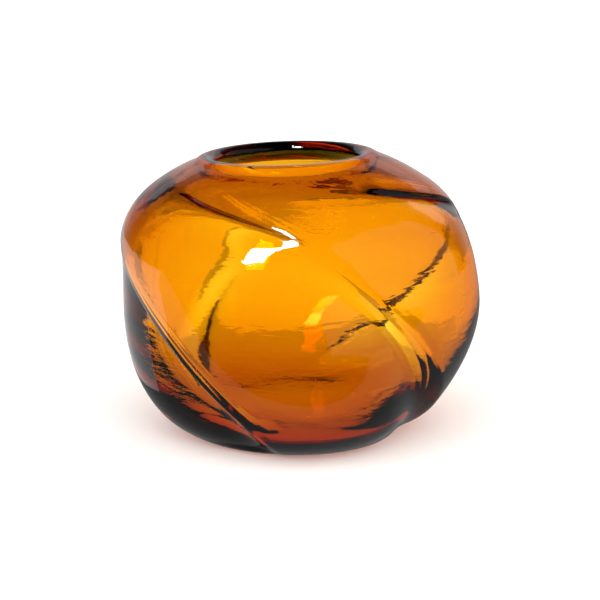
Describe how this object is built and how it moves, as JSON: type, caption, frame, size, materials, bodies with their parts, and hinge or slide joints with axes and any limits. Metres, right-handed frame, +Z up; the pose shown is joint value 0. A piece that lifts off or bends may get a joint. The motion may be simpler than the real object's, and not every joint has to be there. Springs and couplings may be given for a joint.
{
  "type": "glass vase",
  "caption": "Low, round, thick-walled amber glass vase with ridges that swirl up the body to a wide rounded mouth.",
  "frame": {"origin": "centre of the flat foot, on the surface that the vase stands on", "axes": "+Z up out of the mouth, -Y towards the viewer's side, +X to the right, where the lip is a little higher"},
  "size_m": [0.2089, 0.2086, 0.1665],
  "materials": {
    "amber_glass": "fire-polished, clear, amber through its whole thickness"
  },
  "bodies": {
    "root": {"glass_body": "amber_glass"}
  },
  "joints": []
}
